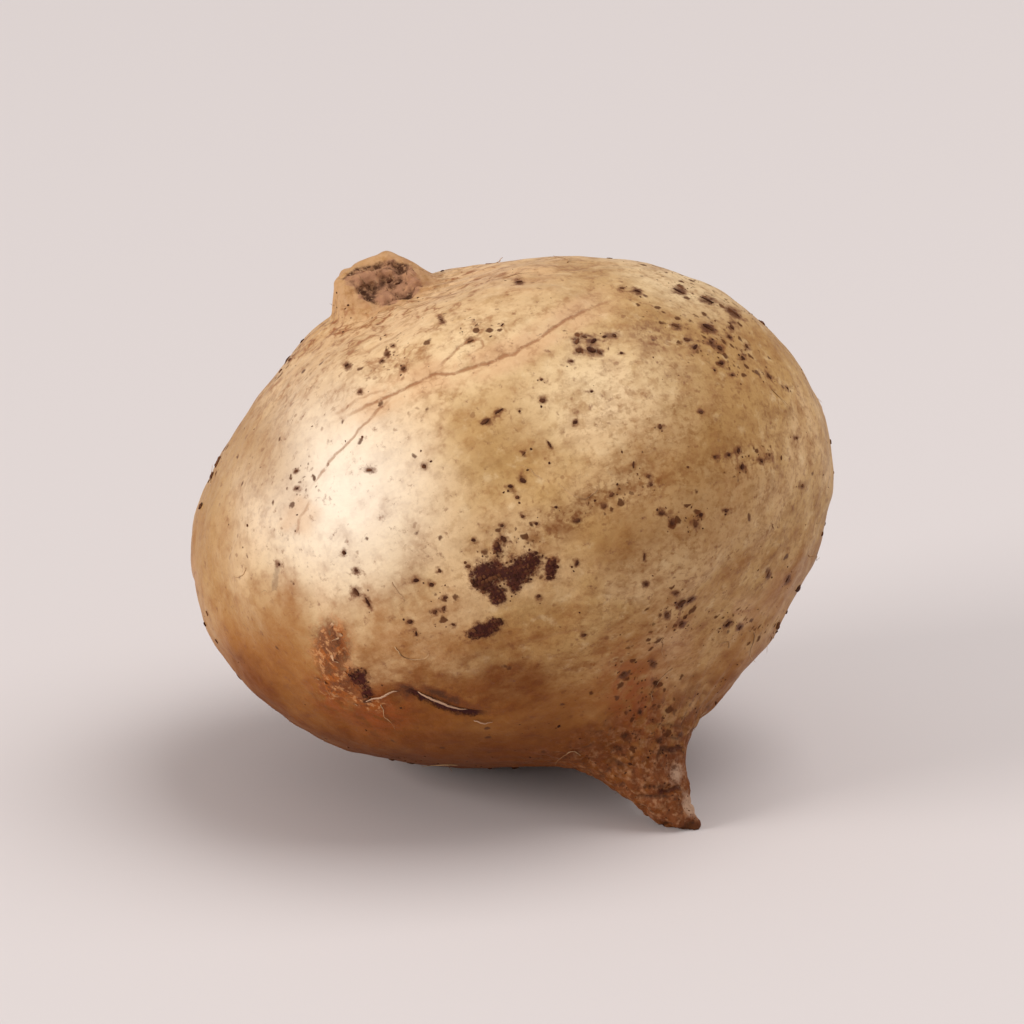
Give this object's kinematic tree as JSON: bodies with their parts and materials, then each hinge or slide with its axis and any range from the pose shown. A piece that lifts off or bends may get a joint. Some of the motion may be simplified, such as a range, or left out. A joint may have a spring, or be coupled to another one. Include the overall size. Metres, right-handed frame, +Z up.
{
  "type": "jicama",
  "caption": "Whole jicama: a squat round storage root with a broken vine stump in its crown and a tapering taproot, lying leaned over.",
  "frame": {"origin": "on the surface that the jicama lies on, under the middle of its box", "axes": "+Z up from that surface; +X to the right and +Y away from a viewer who sees the jicama as the picture does, with the stump at the upper left and the taproot at the lower right"},
  "size_m": [0.1076, 0.1028, 0.0919],
  "materials": {
    "skin": "dry tan skin, matt to half-gloss, with specks of soil"
  },
  "bodies": {
    "root": {"jicama": "skin"}
  },
  "joints": []
}
